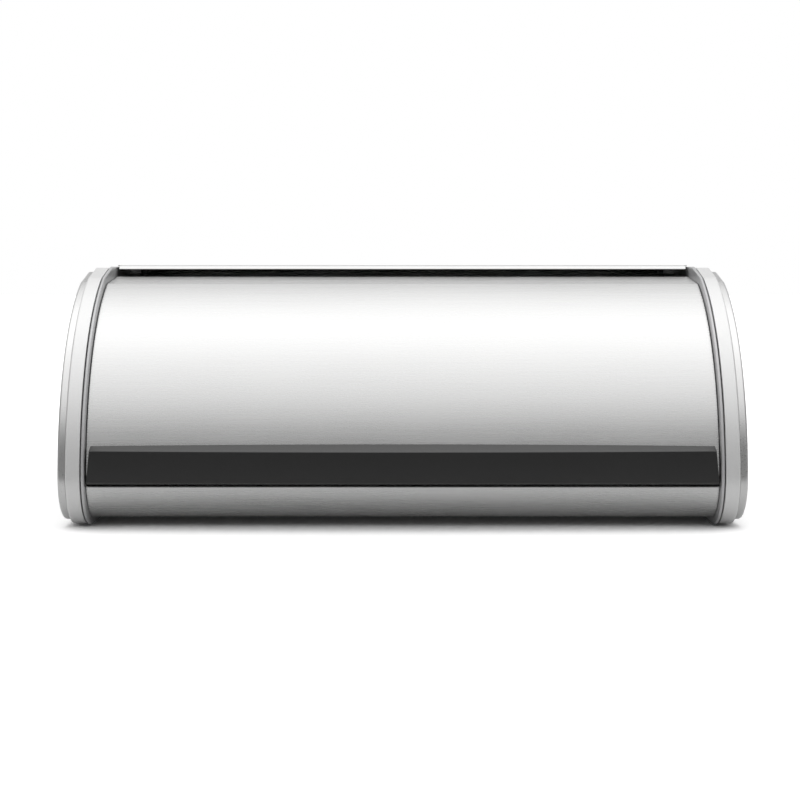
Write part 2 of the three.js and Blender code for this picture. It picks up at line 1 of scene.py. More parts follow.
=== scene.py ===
"""Looks of a roll-top bread box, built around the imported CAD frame.

Sections are drawn in (y, z) millimetres from the hinge axis, as the part itself is drawn, and every
mesh is written in metres in the shared frame.
"""
import json
import math
import bmesh
import bpy
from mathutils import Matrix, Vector


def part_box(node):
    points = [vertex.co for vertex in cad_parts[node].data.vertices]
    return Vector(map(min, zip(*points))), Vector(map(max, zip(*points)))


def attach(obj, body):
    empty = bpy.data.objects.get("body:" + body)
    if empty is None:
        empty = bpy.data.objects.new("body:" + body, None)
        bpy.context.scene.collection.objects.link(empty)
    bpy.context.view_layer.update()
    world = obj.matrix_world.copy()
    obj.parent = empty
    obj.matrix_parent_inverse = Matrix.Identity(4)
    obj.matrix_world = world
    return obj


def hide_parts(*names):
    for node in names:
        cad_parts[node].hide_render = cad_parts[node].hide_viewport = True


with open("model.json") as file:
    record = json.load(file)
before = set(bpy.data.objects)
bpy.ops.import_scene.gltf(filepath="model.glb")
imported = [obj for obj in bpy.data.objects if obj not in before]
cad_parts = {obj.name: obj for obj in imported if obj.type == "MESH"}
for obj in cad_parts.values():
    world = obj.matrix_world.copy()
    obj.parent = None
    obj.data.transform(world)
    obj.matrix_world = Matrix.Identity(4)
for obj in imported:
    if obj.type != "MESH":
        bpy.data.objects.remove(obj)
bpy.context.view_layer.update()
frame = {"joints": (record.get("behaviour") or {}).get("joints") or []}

MM = 0.001

# ---------------------------------------------------------------- sizes, from the frame

HINGE = Vector(frame["joints"][0]["pos_m"])


def cad_box(node):
    """Lowest and highest corner of a node in mm, with y and z from the hinge axis."""
    low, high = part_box(node)
    shift = Vector((0, HINGE.y, HINGE.z))
    return (low - shift) / MM, (high - shift) / MM


def cad_middle(node):
    low, high = cad_box(node)
    return (low + high) / 2


PLATE_LO, PLATE_HI = cad_box("right_side_plate")
BAND_LO, BAND_HI = cad_box("right_end_band")
PANEL_LO, PANEL_HI = cad_box("right_inner_panel")
TRAY_LO, TRAY_HI = cad_box("base_tray")
SHELL_HI = cad_box("rear_shell")[1]
LID_HI = cad_box("lid_sheet")[1]
SIDE_LO, SIDE_HI = cad_box("right_lid_side")
RAIL_LO, RAIL_HI = cad_box("lid_edge_rail")
GRIP_LO, GRIP_HI = cad_box("handle_grip")

# the box and its ends
TOP = SHELL_HI.z
BAND_OVER_TOP = 1  # band arc above the top panel, had it run on over the hinge
BAND_RADIUS = TOP + BAND_OVER_TOP
BAND_TOP = BAND_HI.z
BAND_FLOOR = BAND_LO.z
REAR_REACH = BAND_HI.y
CREASE = 69.4  # elevation of the crease from the hinge axis, in degrees
FACET_SLOPE = 12.5  # flat strip behind the crease of the bands
FRONT_FILLET = 33.5
REAR_TOP_FILLET = 22
REAR_BOTTOM_FILLET = 12
STEP_INSET = 2.9
RIM_PROUD = 0.8
RIM_WIDTH = 2.1
RIM_DEPTH = 6  # from the outside of the bands to the inner edge of the drawn rim
OUTLINE_SOFT = {"crease": 4.0, "facet_end": 6.0}  # radii of the bands' two faint corners
PLATE_EDGE = 2
PLATE_BACK = ((0.2, 0.8), (0, 0.35), (0.25, 0))  # (x, inset) steps of the cover's inner arris
PLATE_FACE = (2.5, 6)  # rows on the cover's flat face, in from its rounded edge
BAND_EDGE = 1.3
BAND_BACK = ((0, 0.6), (0.08, 0.3), (0.3, 0.08), (0.6, 0))  # (x, inset) steps of the inner rounding
BAND_WALL = 2.5
BAND_WEB = 2.4
BAND_WEB_DEPTH = 9

# sheet steel
SHEET = 0.8
GAP = 0.3
HEM_HEIGHT = 3
RUNNING_GAP = 0.6
SHEET_INSET = HEM_HEIGHT + RUNNING_GAP + BAND_OVER_TOP
LID_RADIUS = BAND_RADIUS - SHEET_INSET
CUT_EDGE = 0.15  # break along a sheet's cut edges
HEM_FRONT = -6
HEM_RETURN = 8
HEM_END_GAP = 1.6
HEM_NOSE = 5.2
HEM_CORNER = 0.4
HEM_BEND = 0.3
NOTCH_STEP = 0.3
END_LAP = 0.4  # rear sheet runs into the inner panels, so that no light leaks past its ends
FLANGE_BEND = 1.0
LOWER_FLANGE = 12
SEAM = 24
FOOT_EDGE = 0.45
SHEET_END = SHELL_HI.x
SPLIT = TRAY_HI.z
FLOOR_Z = TRAY_LO.z
FLOOR_TOP = FLOOR_Z + SHEET
BACK_Y = SHELL_HI.y
BACK_INNER = BACK_Y - SHEET
FLOOR_REAR = BACK_Y - REAR_BOTTOM_FILLET
SEAM_Z = FLOOR_TOP + GAP

# lid
LID_END = LID_HI.x
LID_FACET_SLOPE = 6.2
LID_CORNER = 2
LID_CORNER_STEPS = 8
LID_EDGE_IN = 0.02  # lid's upper edge kept inside the CAD's
CREASE_SOFT = 4
RAIL_FLOOR = RAIL_LO.z
RAIL_TOP = RAIL_HI.z
RAIL_WALL = 1.2
RAIL_REBATE = 0.5
RAIL_EDGE = 0.25
GRIP_BOW = 3.4
GRIP_LEDGE_SLOPE = 22.5
GRIP_CROWN = 1.1
GRIP_EDGE = 0.5
GRIP_NOSE = 0.8
GRIP_FOOT = 1.5
GRIP_FLARE = 3
GRIP_END_IN = {"foot": 0.6, "side": 1.8, "top": 2.8}
GRIP_END_ROUND = 0.3
GRIP_STATIONS = 20
GRIP_SEAT_STEPS = 8
GRIP_FOOT_STEPS = 3
SIDE_SHEET = 1.5
SIDE_RIM_DEPTH = 3
SIDE_RIM_LAP = 0.01
SIDE_EDGE = 0.2
SIDE_BELOW_CREASE = 1.4  # degrees from the lid's crease to the side's upper edge
SIDE_ABOVE_RAIL = 5
HUB_RADIUS = 10
BORE_RADIUS = 6.3


# ---------------------------------------------------------------- section drawing


def polar(radius, elevation, centre=(0, 0)):
    angle = math.radians(elevation)
    return (centre[0] - radius * math.cos(angle), centre[1] + radius * math.sin(angle))


def arc(radius, start, end, centre=(0, 0), step=2.0):
    """Points from one elevation to another, at most `step` degrees apart."""
    count = max(2, math.ceil(abs(end - start) / step))
    return [polar(radius, start + (end - start) * i / count, centre) for i in range(count + 1)]


FILLET_Z = BAND_FLOOR + FRONT_FILLET
FILLET_CENTRE = (-math.sqrt((BAND_RADIUS - FRONT_FILLET) ** 2 - FILLET_Z**2), FILLET_Z)
FILLET_END = math.degrees(math.atan2(FILLET_CENTRE[1], -FILLET_CENTRE[0]))


def front_curve(inset, low, high, step=1.5):
    """The front, `inset` inside the bands, between two heights: fillet first, then arc."""
    fillet = FRONT_FILLET - inset
    radius = BAND_RADIUS - inset
    join = radius * math.sin(math.radians(FILLET_END))
    line = []
    if low < join:
        start = math.degrees(math.asin(max(-1, (low - FILLET_CENTRE[1]) / fillet)))
        end = math.degrees(math.asin((min(high, join) - FILLET_CENTRE[1]) / fillet))
        line = arc(fillet, start, end, FILLET_CENTRE, 3 * step)
    if high > join:
        start = math.degrees(math.asin(max(low, join) / radius))
        end = math.degrees(math.asin(high / radius))
        line = line + arc(radius, start, end, step=step)[1 if line else 0 :]
    return line


def front_y(inset, z):
    """How far forward the front stands at a height."""
    if z < (BAND_RADIUS - inset) * math.sin(math.radians(FILLET_END)):
        fillet = FRONT_FILLET - inset
        return FILLET_CENTRE[0] - math.sqrt(fillet**2 - (z - FILLET_CENTRE[1]) ** 2)
    return -math.sqrt((BAND_RADIUS - inset) ** 2 - z**2)


def crease_z(inset):
    return (BAND_RADIUS - inset) * math.sin(math.radians(CREASE))


def softened(points, radii, step=12.0, count=0):
    """Rounds the corners of a line: radii gives each corner's radius, 0 for none and at both ends."""
    out = []
    for i, (here, radius) in enumerate(zip(points, radii)):
        if radius == 0:
            out.append(here)
            continue
        p = Vector(here)
        a = (Vector(points[i - 1]) - p).normalized()
        b = (Vector(points[i + 1]) - p).normalized()
        half = a.angle(b) / 2
        reach = radius / math.tan(half)
        start, end = p + a * reach, p + b * reach
        centre = p + (a + b).normalized() * (radius / math.sin(half))
        turn = math.pi - 2 * half
        n = count or max(2, math.ceil(math.degrees(turn) / step))
        u, v = start - centre, end - centre
        for k in range(n + 1):
            t = k / n
            w = (u * math.sin((1 - t) * turn) + v * math.sin(t * turn)) / math.sin(turn)
            out.append(tuple(centre + w))
    return out


def box_outline(inset):
    """The closed side outline, `inset` inside the bands, with as many points at every inset."""
    top = BAND_TOP - inset
    back = REAR_REACH - inset
    floor = BAND_FLOOR + inset
    upper = REAR_TOP_FILLET - inset
    lower = REAR_BOTTOM_FILLET - inset
    fillet = arc(FRONT_FILLET - inset, -90, FILLET_END, FILLET_CENTRE, step=4)
    front = arc(BAND_RADIUS - inset, FILLET_END, CREASE, step=1.5)[1:]
    crease = front[-1]
    slope = math.tan(math.radians(FACET_SLOPE))
    flat_start = (crease[0] + (top - crease[1]) / slope, top)
    rear = arc(upper, 90, 180, (back - upper, top - upper), step=5)
    foot = arc(lower, 180, 270, (back - lower, floor + lower), step=7.5)
    radii = [0, OUTLINE_SOFT["crease"], OUTLINE_SOFT["facet_end"], 0]
    soft = softened([front[-2], crease, flat_start, rear[0]], radii, step=2.0)
    return fillet + front[:-1] + soft[1:-1] + rear + foot


# ---------------------------------------------------------------- mesh building


SMOOTH_ANGLE = 30
BEVEL_ANGLE = 32
WELD = 1e-7


def new_object(name, bm, material, body, replaces, bevel=0.0):
    """Makes a piece of a finished mesh. It rides on body and takes the place of CAD nodes."""
    bmesh.ops.remove_doubles(bm, verts=bm.verts, dist=WELD)
    bmesh.ops.recalc_face_normals(bm, faces=bm.faces)
    mesh = bpy.data.meshes.new(name)
    bm.to_mesh(mesh)
    bm.free()
    mesh.shade_smooth()
    mesh.set_sharp_from_angle(angle=math.radians(SMOOTH_ANGLE))
    obj = bpy.data.objects.new(name, mesh)
    bpy.context.scene.collection.objects.link(obj)
    obj.data.materials.append(material)
    if bevel:
        soft = obj.modifiers.new("edges", "BEVEL")
        soft.width = bevel * MM
        soft.segments = 2
        soft.limit_method = "ANGLE"
        soft.angle_limit = math.radians(BEVEL_ANGLE)
        soft.harden_normals = True
    weighted = obj.modifiers.new("normals", "WEIGHTED_NORMAL")
    weighted.keep_sharp = True
    weighted.weight = 80
    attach(obj, body)
    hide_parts(*replaces)
    return obj


def vert(bm, x, y, z):
    return bm.verts.new((x * MM, y * MM + HINGE.y, z * MM + HINGE.z))


def bridge(bm, first, second):
    """Faces between two rings of as many points."""
    for i in range(len(first)):
        j = (i + 1) % len(first)
        bm.faces.new((first[i], first[j], second[j], second[i]))


def loft_outline(bm, section, mirror, capped=False):
    """Runs a section of (x, inset) points round the side outline, as a ring or capped at both ends."""
    loops = []
    for x, inset in section:
        loops.append([vert(bm, mirror * x, y, z) for y, z in box_outline(inset)])
    for first, second in zip(loops, loops[1:]):
        bridge(bm, first, second)
    if capped:
        bm.faces.new(loops[0])
        bm.faces.new(loops[-1])
    else:
        bridge(bm, loops[-1], loops[0])


def prism(bm, outline, x0, x1):
    """A closed section drawn out along X, capped at both ends."""
    first = [vert(bm, x0, y, z) for y, z in outline]
    second = [vert(bm, x1, y, z) for y, z in outline]
    bridge(bm, first, second)
    bm.faces.new(first)
    bm.faces.new(second)


def holed_prism(bm, outline, hole, x0, x1):
    """A closed section with one hole, drawn out along X."""
    rims = []
    for x in (x0, x1):
        loops = [[vert(bm, x, y, z) for y, z in line] for line in (outline, hole)]
        edges = []
        for loop in loops:
            edges += [bm.edges.new(pair) for pair in zip(loop, loop[1:] + loop[:1])]
        bmesh.ops.triangle_fill(bm, use_beauty=True, edges=edges)
        rims.append(loops)
    for first, second in zip(*rims):
        bridge(bm, first, second)


def offset_line(line, distance):
    """A line laid beside another, on its right-hand side."""
    normals = []
    for a, b in zip(line, line[1:]):
        run = (Vector(b) - Vector(a)).normalized()
        normals.append(Vector((run.y, -run.x)))
    normals.append(normals[-1])
    out = []
    for i, p in enumerate(line):
        mitre = normals[max(i - 1, 0)] + normals[i]
        q = Vector(p) + mitre * (2 * distance / mitre.length_squared)
        out.append((q.x, q.y))
    return out


def bent_sheet(bm, outer, reach):
    """Bent sheet with its cut edges slightly broken. reach(i) is the half-width at point i."""
    inner = offset_line(outer, SHEET)
    outer_in = offset_line(outer, CUT_EDGE)
    inner_in = offset_line(outer, SHEET - CUT_EDGE)
    rows = []
    for i in range(len(outer)):
        half = reach(i)
        row = []
        for line, pull in ((outer, CUT_EDGE), (outer_in, 0), (inner_in, 0), (inner, CUT_EDGE)):
            y, z = line[i]
            row.append((half - pull, y, z))
        ring = [vert(bm, x, y, z) for x, y, z in row]
        ring += [vert(bm, -x, y, z) for x, y, z in reversed(row)]
        rows.append(ring)
    for first, second in zip(rows, rows[1:]):
        bridge(bm, first, second)
    bm.faces.new(rows[0])
    bm.faces.new(rows[-1])


def lathe(bm, profile, origin, axis, sides):
    """Turns (radius, height) pairs about an axis through origin, which is in mm from the hinge axis."""
    axis = Vector(axis).normalized()
    side = axis.orthogonal().normalized()
    other = axis.cross(side)
    base = Vector(origin)
    rings = []
    for radius, height in profile:
        centre = base + axis * height
        if radius == 0:
            rings.append([vert(bm, *centre)])
            continue
        ring = []
        for k in range(sides):
            a = 2 * math.pi * k / sides
            p = centre + (side * math.cos(a) + other * math.sin(a)) * radius
            ring.append(vert(bm, *p))
        rings.append(ring)
    for first, second in zip(rings, rings[1:]):
        if len(first) == 1:
            for i in range(sides):
                bm.faces.new((first[0], second[i], second[(i + 1) % sides]))
        elif len(second) == 1:
            for i in range(sides):
                bm.faces.new((first[i], second[0], first[(i + 1) % sides]))
        else:
            bridge(bm, first, second)


# ---------------------------------------------------------------- materials


NOISE_SPAN = (0.3, 0.7)  # where nearly all of a noise's values lie
NOISE_ROUGHNESS = 0.55
BRUSHED_SHARE = 0.65
CLOUD_SHARE = 0.35
METAL_CLOUD = (14, 22, 22)
MOULDED_CLOUD = (18, 18, 18)
METAL_RELIEF = 0.000004  # height of the brushing, in metres
MOULDED_RELIEF = 0.00004


def shader(name):
    material = bpy.data.materials.new(name)
    material.use_nodes = True
    nodes, links = material.node_tree.nodes, material.node_tree.links
    return material, nodes, links, nodes["Principled BSDF"]


def math_node(nodes, operation):
    node = nodes.new("ShaderNodeMath")
    node.operation = operation
    return node


def mapped_noise(nodes, links, scale, detail):
    """Noise in the object's own frame, stretched by scale (periods per metre on each axis)."""
    where = nodes.new("ShaderNodeTexCoord")
    mapping = nodes.new("ShaderNodeMapping")
    mapping.inputs["Scale"].default_value = scale
    noise = nodes.new("ShaderNodeTexNoise")
    noise.inputs["Scale"].default_value = 1.0
    noise.inputs["Detail"].default_value = detail
    noise.inputs["Roughness"].default_value = NOISE_ROUGHNESS
    links.new(where.outputs["Object"], mapping.inputs["Vector"])
    links.new(mapping.outputs["Vector"], noise.inputs["Vector"])
    return noise


def ranged(nodes, links, source, low, high, span=NOISE_SPAN):
    node = nodes.new("ShaderNodeMapRange")
    node.inputs["From Min"].default_value = span[0]
    node.inputs["From Max"].default_value = span[1]
    node.inputs["To Min"].default_value = low
    node.inputs["To Max"].default_value = high
    links.new(source, node.inputs["Value"])
    return node.outputs["Result"]


def blend_colour(nodes, links, source, dark, light):
    ramp = nodes.new("ShaderNodeValToRGB")
    for element, position, colour in zip(ramp.color_ramp.elements, NOISE_SPAN, (dark, light)):
        element.position = position
        element.color = (*colour, 1)
    links.new(source, ramp.inputs["Fac"])
    return ramp.outputs["Color"]


def bump(nodes, links, principled, source, strength, distance):
    node = nodes.new("ShaderNodeBump")
    node.inputs["Strength"].default_value = strength
    node.inputs["Distance"].default_value = distance
    links.new(source, node.inputs["Height"])
    links.new(node.outputs["Normal"], principled.inputs["Normal"])


def satin_metal(name, grain, dark, light, rough, lift, brushing=0.0, metallic=1.0):
    """Satin metal: fine brushing along the stretched axis of the grain, and faint cloudy marks."""
    material, nodes, links, principled = shader(name)
    principled.inputs["Metallic"].default_value = metallic
    if brushing:
        # brushed along X, so a reflection spreads round the section and stays crisp along the box
        principled.inputs["Anisotropic"].default_value = brushing
        around = nodes.new("ShaderNodeTangent")
        around.direction_type = "RADIAL"
        around.axis = "X"
        links.new(around.outputs["Tangent"], principled.inputs["Tangent"])
    brushed = mapped_noise(nodes, links, grain, detail=4.0)
    cloud = mapped_noise(nodes, links, METAL_CLOUD, detail=3.0)
    mixed = math_node(nodes, "MULTIPLY_ADD")
    mixed.inputs[1].default_value = CLOUD_SHARE
    links.new(cloud.outputs["Fac"], mixed.inputs[0])
    share = math_node(nodes, "MULTIPLY")
    share.inputs[1].default_value = BRUSHED_SHARE
    links.new(brushed.outputs["Fac"], share.inputs[0])
    links.new(share.outputs[0], mixed.inputs[2])
    colour = blend_colour(nodes, links, mixed.outputs[0], dark, light)
    links.new(colour, principled.inputs["Base Color"])
    links.new(ranged(nodes, links, mixed.outputs[0], *rough), principled.inputs["Roughness"])
    bump(nodes, links, principled, brushed.outputs["Fac"], lift, METAL_RELIEF)
    return material


def moulded(name, dark, light, rough, texture, metallic=0.0, lift=0.25):
    """Moulded or rubbery surface with a fine eroded texture."""
    material, nodes, links, principled = shader(name)
    principled.inputs["Metallic"].default_value = metallic
    fine = mapped_noise(nodes, links, (texture,) * 3, detail=2.0)
    cloud = mapped_noise(nodes, links, MOULDED_CLOUD, detail=3.0)
    colour = blend_colour(nodes, links, cloud.outputs["Fac"], dark, light)
    links.new(colour, principled.inputs["Base Color"])
    links.new(ranged(nodes, links, fine.outputs["Fac"], *rough), principled.inputs["Roughness"])
    bump(nodes, links, principled, fine.outputs["Fac"], lift, MOULDED_RELIEF)
    return material


def grey(level, blue=0.0):
    return (level, level, level + blue)


STEEL = satin_metal(
    "satin_steel",
    (14, 1400, 1400),
    grey(0.60, -0.002),
    grey(0.65, -0.003),
    (0.25, 0.30),
    lift=0.12,
    brushing=0.85,
)
COVER = satin_metal(
    "satin_cover", (1300, 20, 1300), grey(0.58, -0.002), grey(0.63, -0.003), (0.26, 0.32), lift=0.2
)
BAND = satin_metal(
    "satin_band",
    (500, 1300, 1300),
    grey(0.73, -0.002),
    grey(0.77, -0.003),
    (0.40, 0.46),
    lift=0.08,
    metallic=0.5,
)
MOULDING = moulded(
    "grey_moulding", grey(0.50, 0.005), grey(0.56, 0.005), (0.34, 0.42), 1600, metallic=0.5, lift=0.12
)
BLACK = moulded("black_grip", grey(0.004), grey(0.006), (0.30, 0.36), 2400, lift=0.12)
BLACK.node_tree.nodes["Principled BSDF"].inputs["IOR"].default_value = 1.68
RUBBER = moulded("black_rubber", grey(0.016), grey(0.024), (0.75, 0.88), 1500, lift=0.4)
ACETAL = moulded("white_acetal", (0.76, 0.75, 0.71), (0.82, 0.81, 0.78), (0.40, 0.50), 900)
ZINC = satin_metal(
    "zinc_hardware", (900, 900, 900), (0.50, 0.51, 0.52), (0.62, 0.63, 0.64), (0.30, 0.42), lift=0.5
)

# ---------------------------------------------------------------- end assemblies

SIDES = {"left": -1, "right": 1}


QUARTER_STEPS = 6


def quarter(x, inset, radius):
    """A quarter round on a loft section, from the outline's edge to the outer face."""
    out = []
    for k in range(QUARTER_STEPS + 1):
        a = math.pi / 2 * k / QUARTER_STEPS
        out.append((x + radius * math.sin(a), inset + radius * (1 - math.cos(a))))
    return out


def side_plate(side, mirror):
    inner, outer = PLATE_LO.x, PLATE_HI.x
    section = [(inner + x, STEP_INSET + inset) for x, inset in PLATE_BACK]
    section += quarter(outer - PLATE_EDGE, STEP_INSET, PLATE_EDGE)
    section += [(outer, STEP_INSET + PLATE_EDGE + row) for row in PLATE_FACE]
    bm = bmesh.new()
    loft_outline(bm, section, mirror, capped=True)
    name = f"{side}_side_plate_fine"
    return new_object(name, bm, COVER, "housing", [f"{side}_side_plate"])


def end_band(side, mirror):
    inner, outer = BAND_LO.x, BAND_HI.x
    web = outer - BAND_WEB
    section = [(inner, BAND_WALL)]
    section += [(inner + x, inset) for x, inset in BAND_BACK]
    section += quarter(outer - BAND_EDGE, 0, BAND_EDGE)
    section += [(outer, BAND_WEB_DEPTH), (web, BAND_WEB_DEPTH), (web, BAND_WALL)]
    bm = bmesh.new()
    loft_outline(bm, section, mirror)
    name = f"{side}_end_band_fine"
    return new_object(name, bm, BAND, "housing", [f"{side}_end_band"])


def slab(bm, x, y, z, chamfer):
    """A block between corner pairs, in mm from the hinge axis, with its edges broken."""
    grid = {}
    for i in (0, 1):
        for j in (0, 1):
            for k in (0, 1):
                grid[i, j, k] = vert(bm, x[i], y[j], z[k])
    quads = (
        [(0, 0, 0), (0, 0, 1), (0, 1, 1), (0, 1, 0)],
        [(1, 0, 0), (1, 1, 0), (1, 1, 1), (1, 0, 1)],
        [(0, 0, 0), (1, 0, 0), (1, 0, 1), (0, 0, 1)],
        [(0, 1, 0), (0, 1, 1), (1, 1, 1), (1, 1, 0)],
        [(0, 0, 0), (0, 1, 0), (1, 1, 0), (1, 0, 0)],
        [(0, 0, 1), (1, 0, 1), (1, 1, 1), (0, 1, 1)],
    )
    faces = [bm.faces.new([grid[c] for c in quad]) for quad in quads]
    edges = list({e for f in faces for e in f.edges})
    bmesh.ops.bevel(bm, geom=edges, offset=chamfer * MM, segments=3, profile=0.5, affect="EDGES")


LEDGE_DEPTH = 5
LEDGE_EDGE = 0.25
LEDGE_IN_PANEL = 1  # how far a ledge runs into its inner panel
LEDGE_END_GAP = 18  # floor ledge to the front fillet and to the seam
REAR_LEDGE_LENGTH = 60
REAR_LEDGE_ABOVE_FILLET = 4.5
REAR_LEDGE_FOOT = SEAM_Z + REAR_BOTTOM_FILLET + REAR_LEDGE_ABOVE_FILLET
TOP_LEDGE_ABOVE_LID = 9.6
TOP_LEDGE_TO_FILLET = 3
TOP_LEDGE_FLOOR = TOP - SHEET - GAP - LEDGE_DEPTH
TOP_LEDGE_FRONT = math.sqrt((LID_RADIUS + TOP_LEDGE_ABOVE_LID) ** 2 - TOP_LEDGE_FLOOR**2)
LEDGES = (
    (
        (FILLET_CENTRE[0] + LEDGE_END_GAP, FLOOR_REAR - SEAM - LEDGE_END_GAP),
        (FLOOR_TOP + GAP, FLOOR_TOP + GAP + LEDGE_DEPTH),
    ),
    (
        (BACK_INNER - GAP - LEDGE_DEPTH, BACK_INNER - GAP),
        (REAR_LEDGE_FOOT, REAR_LEDGE_FOOT + REAR_LEDGE_LENGTH),
    ),
    (
        (TOP_LEDGE_FRONT, BACK_Y - REAR_TOP_FILLET - TOP_LEDGE_TO_FILLET),
        (TOP_LEDGE_FLOOR, TOP_LEDGE_FLOOR + LEDGE_DEPTH),
    ),
)
BEAD_STEPS = 12
BEAD_FLAT = 0.02  # how much less the rim's bead rises than a half round


def inner_panel(side, mirror):
    outer = PANEL_HI.x
    inner = outer - RIM_WIDTH
    rise = RIM_WIDTH / 2 - BEAD_FLAT
    section = [(inner, RIM_DEPTH)]
    for k in range(BEAD_STEPS + 1):
        a = math.pi * k / BEAD_STEPS
        x = inner + RIM_WIDTH / 2 * (1 - math.cos(a))
        section.append((x, rise * (1 - math.sin(a)) - RIM_PROUD))
    section.append((outer, RIM_DEPTH))
    bm = bmesh.new()
    loft_outline(bm, section, mirror, capped=True)
    reach = sorted((mirror * PANEL_LO.x, mirror * (inner + LEDGE_IN_PANEL)))
    for y, z in LEDGES:
        slab(bm, reach, y, z, LEDGE_EDGE)
    name = f"{side}_inner_panel_fine"
    return new_object(name, bm, MOULDING, "housing", [f"{side}_inner_panel"])


def rubber_foot(side, place):
    node = f"{side}_foot_{place}"
    bm = bmesh.new()
    slab(bm, *zip(*cad_box(node)), FOOT_EDGE)
    return new_object(f"{node}_fine", bm, RUBBER, "housing", [node])


# ---------------------------------------------------------------- sheet steel


def base_tray():
    front = front_curve(SHEET_INSET, FLOOR_Z, SPLIT)
    crest = front[-1]
    flange_end = (crest[0] + LOWER_FLANGE, SPLIT)
    turned = softened([front[-2], crest, flange_end], [0, FLANGE_BEND, 0], step=11)
    line = [(FLOOR_REAR, FLOOR_Z)] + front[:-1] + turned[1:]
    bm = bmesh.new()
    bent_sheet(bm, line, lambda i: SHEET_END)
    return new_object("base_tray_fine", bm, STEEL, "housing", ["base_tray"])


def rear_shell():
    low_edge = math.degrees(math.asin((HEM_NOSE - HEM_HEIGHT + HEM_CORNER) / HEM_NOSE))
    nose_centre = (HEM_FRONT + HEM_NOSE * math.cos(math.radians(low_edge)), TOP - HEM_NOSE)
    nose = arc(HEM_NOSE, low_edge, 90, nose_centre, step=6)
    hem = TOP - HEM_HEIGHT
    hem_back = HEM_FRONT + HEM_RETURN
    line = softened([(hem_back, hem), (HEM_FRONT, hem), nose[0]], [0, HEM_BEND, 0], step=15)
    line += nose[1:]
    # the notches beside the hem stop at the first of these two points
    notch_end = len(line)
    line += [(hem_back, TOP), (hem_back + NOTCH_STEP, TOP)]
    top_bend = (BACK_Y - REAR_TOP_FILLET, TOP - REAR_TOP_FILLET)
    line += arc(REAR_TOP_FILLET, 90, 180, top_bend, step=4)
    floor_bend = (BACK_Y - REAR_BOTTOM_FILLET, SEAM_Z + REAR_BOTTOM_FILLET)
    line += arc(REAR_BOTTOM_FILLET, 180, 270, floor_bend, step=6)
    line.append((FLOOR_REAR - SEAM, SEAM_Z))
    bm = bmesh.new()
    bent_sheet(bm, line, lambda i: SHEET_END - HEM_END_GAP if i <= notch_end else SHEET_END + END_LAP)
    return new_object("rear_shell_fine", bm, STEEL, "housing", ["rear_shell"])


# ---------------------------------------------------------------- lid


def lid_sheet():
    low = RAIL_FLOOR + RAIL_WALL + GAP
    front = front_curve(SHEET_INSET, low, crease_z(SHEET_INSET))
    crease = front[-1]
    facet = math.radians(LID_FACET_SLOPE)
    edge_y = LID_HI.y - SHEET * math.sin(facet) - LID_EDGE_IN
    edge = (edge_y, crease[1] + (edge_y - crease[0]) * math.tan(facet))
    soft = softened([front[-2], crease, edge], [0, CREASE_SOFT, 0], step=2.0)
    line = front[:-1] + soft[1:-1]
    # the two rounded corners of the upper edge
    first = len(line)
    along = Vector((math.cos(facet), math.sin(facet)))
    drawn_in = []
    for k in range(LID_CORNER_STEPS + 1):
        a = math.pi / 2 * k / LID_CORNER_STEPS
        line.append(tuple(Vector(edge) - along * (LID_CORNER * (1 - math.sin(a)))))
        drawn_in.append(LID_CORNER * (1 - math.cos(a)))
    bm = bmesh.new()
    bent_sheet(bm, line, lambda i: LID_END - (drawn_in[i - first] if i >= first else 0))
    return new_object("lid_sheet_fine", bm, STEEL, "lid", ["lid_sheet"])


def grip_section(bow, crown):
    """The grip's side section where its front stands `bow` behind the middle, back edge first."""
    seat_inset = SHEET_INSET - GAP
    step_z = RAIL_TOP + RAIL_REBATE
    top = GRIP_HI.z - crown
    steps = GRIP_SEAT_STEPS
    seat_z = [step_z + (top - step_z) * i / steps for i in range(steps + 1)]
    seat = [(front_y(seat_inset, z), z) for z in seat_z]
    steps = GRIP_FOOT_STEPS
    foot_z = [GRIP_LO.z + (step_z - GRIP_LO.z) * i / steps for i in range(steps + 1)]
    foot = [(front_y(seat_inset - RAIL_WALL - GAP, z), z) for z in foot_z]
    fall = math.tan(math.radians(GRIP_LEDGE_SLOPE))
    face = GRIP_LO.y + bow
    nose = top - (seat[-1][0] - face) * fall
    line = seat + [(face, nose), (face, GRIP_LO.z)] + foot
    radii = [0] * GRIP_SEAT_STEPS + [GRIP_EDGE, GRIP_NOSE, GRIP_NOSE, GRIP_EDGE] + [0] * GRIP_FOOT_STEPS
    return softened(line, radii, count=4)


def shrunk(section, amount):
    """A closed section drawn in by an amount all round."""
    around = section[-1:] + section + section[:1]
    return offset_line(around, -amount)[1:-1]


def grip_end(z):
    """Half-width of the grip at a height: it leans inwards and flares at the foot."""
    height = z - GRIP_LO.z
    if height <= GRIP_FOOT:
        return LID_END - GRIP_END_IN["foot"]
    flare_top = GRIP_FOOT + GRIP_FLARE
    if height <= flare_top:
        share = (height - GRIP_FOOT) / GRIP_FLARE
        return LID_END - GRIP_END_IN["foot"] - (GRIP_END_IN["side"] - GRIP_END_IN["foot"]) * share
    share = (height - flare_top) / (GRIP_HI.z - GRIP_LO.z - flare_top)
    return LID_END - GRIP_END_IN["side"] - (GRIP_END_IN["top"] - GRIP_END_IN["side"]) * share


